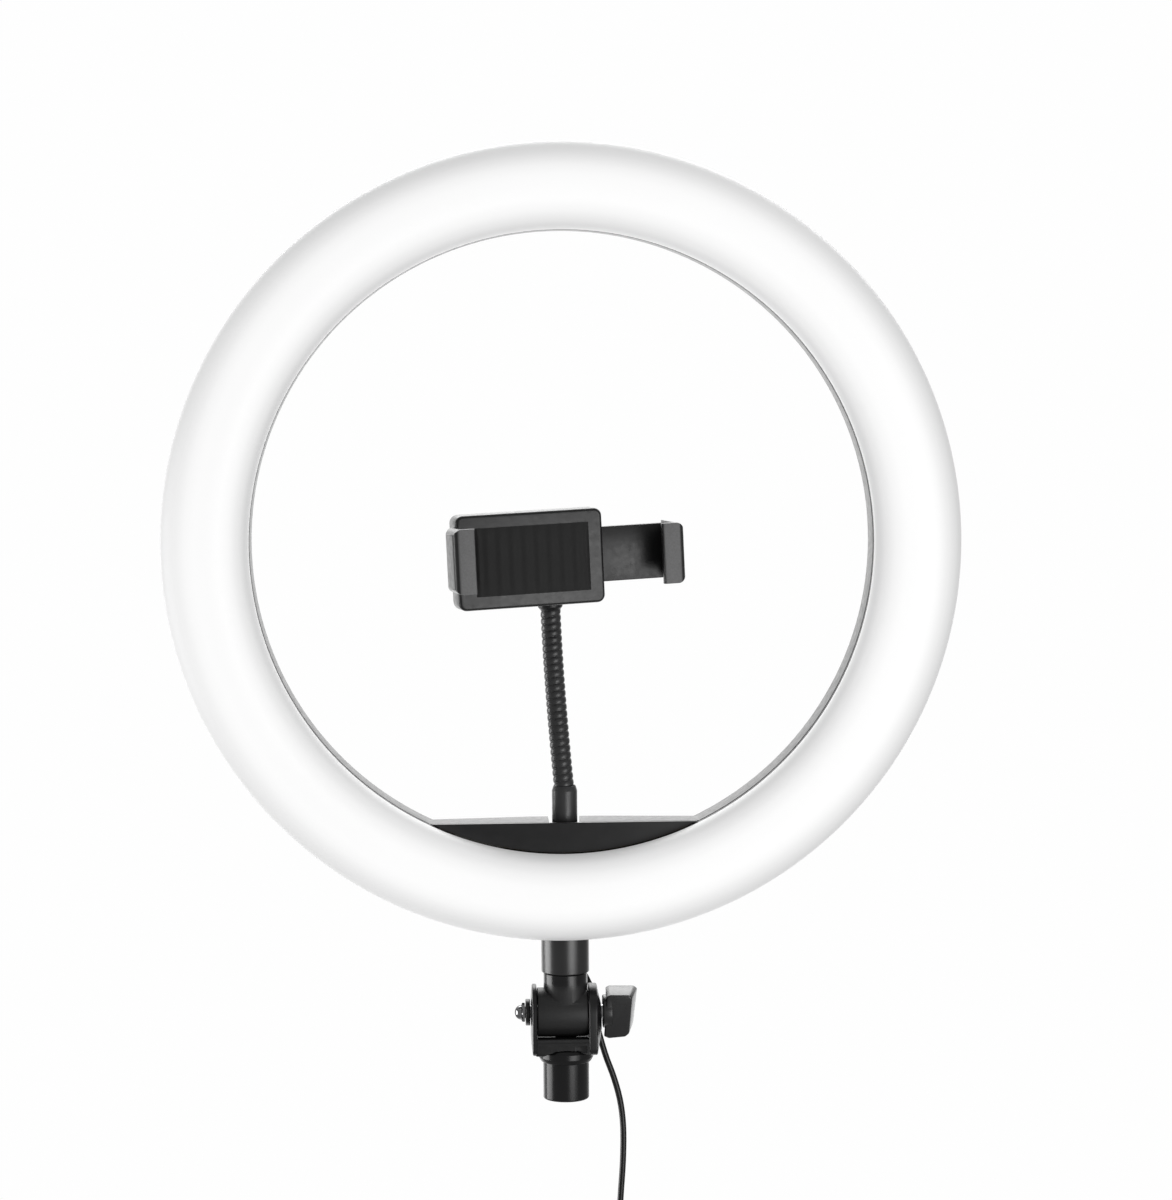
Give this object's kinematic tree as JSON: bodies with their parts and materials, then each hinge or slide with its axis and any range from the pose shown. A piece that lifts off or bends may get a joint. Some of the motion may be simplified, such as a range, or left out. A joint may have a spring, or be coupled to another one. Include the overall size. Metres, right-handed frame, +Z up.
{
  "type": "ring light",
  "caption": "Ring light with tilting yoke bracket, wing knob, flexible phone holder with spring clamp, and a USB cord with in-line controller.",
  "frame": {"origin": "centre of the stand socket's mouth, where the light screws on to a stand", "axes": "+Z up along the socket and neck, -Y the way the lit face looks, +X to the right seen from the front"},
  "size_m": [0.33, 0.0763, 0.5948],
  "materials": {
    "diffuser": "milky white translucent polycarbonate, faint satin gloss",
    "satin_black": "satin to semi-gloss moulded black plastic",
    "matt_black": "fine-grained matt black plastic",
    "rubber": "matt black rubber",
    "cord_pvc": "smooth semi-gloss black PVC",
    "steel": "zinc-plated steel",
    "gooseneck": "spiral-wound steel, black lacquer",
    "chrome": "polished chrome plate",
    "brass": "machined brass",
    "board_white": "white solder mask",
    "board_green": "green solder mask",
    "led_cool": "cool-white phosphor",
    "led_warm": "warm-white phosphor"
  },
  "bodies": {
    "root": {"stand_socket": "satin_black", "thread_insert": "brass", "swivel_screw": "steel"},
    "yoke": {"yoke_bracket": "satin_black", "acorn_nut": "chrome", "nut_washer": "satin_black", "tilt_friction_washer": "rubber", "cord_lower": "cord_pvc", "controller_front_shell": "satin_black", "controller_rear_shell": "satin_black", "controller_board": "board_green", "cord_tail": "cord_pvc", "cord_coil": "cord_pvc", "cord_plug_lead": "cord_pvc", "usb_plug_body": "matt_black", "usb_plug_shell": "chrome"},
    "head": {"diffuser_ring": "diffuser", "rear_housing": "satin_black", "bridge_front_plate": "satin_black", "led_board": "board_white", "cool_white_led_strip": "led_cool", "warm_white_led_strip": "led_warm", "housing_screw_1": "steel", "housing_screw_2": "steel", "housing_screw_3": "steel", "housing_screw_4": "steel", "housing_screw_5": "steel", "housing_screw_6": "steel", "driver_board": "board_green", "head_wiring": "cord_pvc", "neck_sleeve": "matt_black", "neck_post": "satin_black", "neck_lock_nut": "steel", "stem_ferrule": "satin_black", "stem_lock_nut": "steel", "cord_strain_relief": "rubber", "cord_upper": "cord_pvc"},
    "knob": {"wing_knob": "satin_black", "pivot_bolt": "steel"},
    "gooseneck_1": {"gooseneck_link_1": "gooseneck"},
    "gooseneck_2": {"gooseneck_link_2": "gooseneck"},
    "gooseneck_3": {"gooseneck_link_3": "gooseneck"},
    "gooseneck_4": {"gooseneck_top_ferrule": "satin_black"},
    "ball_stud": {"ball_stud": "chrome"},
    "ball_liner": {"ball_liner": "matt_black"},
    "clamp": {"clamp_body": "satin_black", "fixed_jaw_pad": "rubber", "clamp_body_pad": "rubber", "clamp_back_cover": "satin_black", "spring_anchor_bar": "steel", "clamp_spring_upper": "steel", "clamp_spring_lower": "steel"},
    "lock_ring": {"ball_lock_ring": "matt_black"},
    "sliding_jaw": {"sliding_bracket": "satin_black", "sliding_jaw_pad": "rubber"},
    "power_button": {"power_button": "matt_black"},
    "colour_button": {"colour_button": "matt_black"},
    "brighter_button": {"brighter_button": "matt_black"},
    "dimmer_button": {"dimmer_button": "matt_black"}
  },
  "joints": [
    {"name": "bracket_pan", "type": "hinge", "parent": "root", "child": "yoke", "pos_m": [0, 0, 0.022], "axis": [0, 0, 1], "continuous": true},
    {"name": "head_tilt", "type": "hinge", "parent": "yoke", "child": "head", "pos_m": [0, 0, 0.0367], "axis": [1, 0, 0], "range_deg": [-90, 90]},
    {"name": "tilt_knob_turn", "type": "hinge", "parent": "yoke", "child": "knob", "pos_m": [0, 0, 0.0367], "axis": [1, 0, 0], "range_deg": [0, 360]},
    {"name": "gooseneck_bend_1", "type": "hinge", "parent": "head", "child": "gooseneck_1", "pos_m": [0.0003, 0, 0.1297], "axis": [1, 0, 0], "range_deg": [-25, 25]},
    {"name": "gooseneck_bend_2", "type": "hinge", "parent": "gooseneck_1", "child": "gooseneck_2", "pos_m": [-0.00167, 0.00427, 0.15364], "axis": [0, 1, 0], "range_deg": [-25, 25]},
    {"name": "gooseneck_bend_3", "type": "hinge", "parent": "gooseneck_2", "child": "gooseneck_3", "pos_m": [-0.00325, 0.00963, 0.17746], "axis": [1, 0, 0], "range_deg": [-25, 25]},
    {"name": "gooseneck_bend_4", "type": "hinge", "parent": "gooseneck_3", "child": "gooseneck_4", "pos_m": [-0.00441, 0.01215, 0.20152], "axis": [0, 1, 0], "range_deg": [-25, 25]},
    {"name": "holder_turn", "type": "hinge", "parent": "gooseneck_4", "child": "ball_stud", "pos_m": [-0.00543, 0.01194, 0.2275], "axis": [-0.0393, -0.0083, 0.9992], "continuous": true},
    {"name": "ball_tilt", "type": "hinge", "parent": "ball_stud", "child": "ball_liner", "pos_m": [-0.00543, 0.01194, 0.2275], "axis": [0.9774, 0.2077, 0.0401], "range_deg": [-20, 20]},
    {"name": "ball_roll", "type": "hinge", "parent": "ball_liner", "child": "clamp", "pos_m": [-0.00543, 0.01194, 0.2275], "axis": [-0.2079, 0.9781, 0], "range_deg": [-20, 20]},
    {"name": "lock_ring_turn", "type": "hinge", "parent": "clamp", "child": "lock_ring", "pos_m": [-0.00543, 0.01194, 0.2275], "axis": [-0.0393, -0.0083, 0.9992], "range_deg": [0, 360]},
    {"name": "jaw_slide", "type": "slide", "parent": "clamp", "child": "sliding_jaw", "axis": [0.9774, 0.2077, 0.0401], "range_m": [-0.018, 0.009], "stiffness_N_per_m": 120, "springref_m": -0.024, "deforming": ["clamp_spring_upper", "clamp_spring_lower"]},
    {"name": "power_button_press", "type": "slide", "parent": "yoke", "child": "power_button", "axis": [0, 1, 0], "range_m": [0, 0.0009], "stiffness_N_per_m": 250, "springref_m": -0.0008},
    {"name": "colour_button_press", "type": "slide", "parent": "yoke", "child": "colour_button", "axis": [0, 1, 0], "range_m": [0, 0.0009], "stiffness_N_per_m": 250, "springref_m": -0.0008},
    {"name": "brighter_button_press", "type": "slide", "parent": "yoke", "child": "brighter_button", "axis": [0, 1, 0], "range_m": [0, 0.0009], "stiffness_N_per_m": 250, "springref_m": -0.0008},
    {"name": "dimmer_button_press", "type": "slide", "parent": "yoke", "child": "dimmer_button", "axis": [0, 1, 0], "range_m": [0, 0.0009], "stiffness_N_per_m": 250, "springref_m": -0.0008}
  ]
}
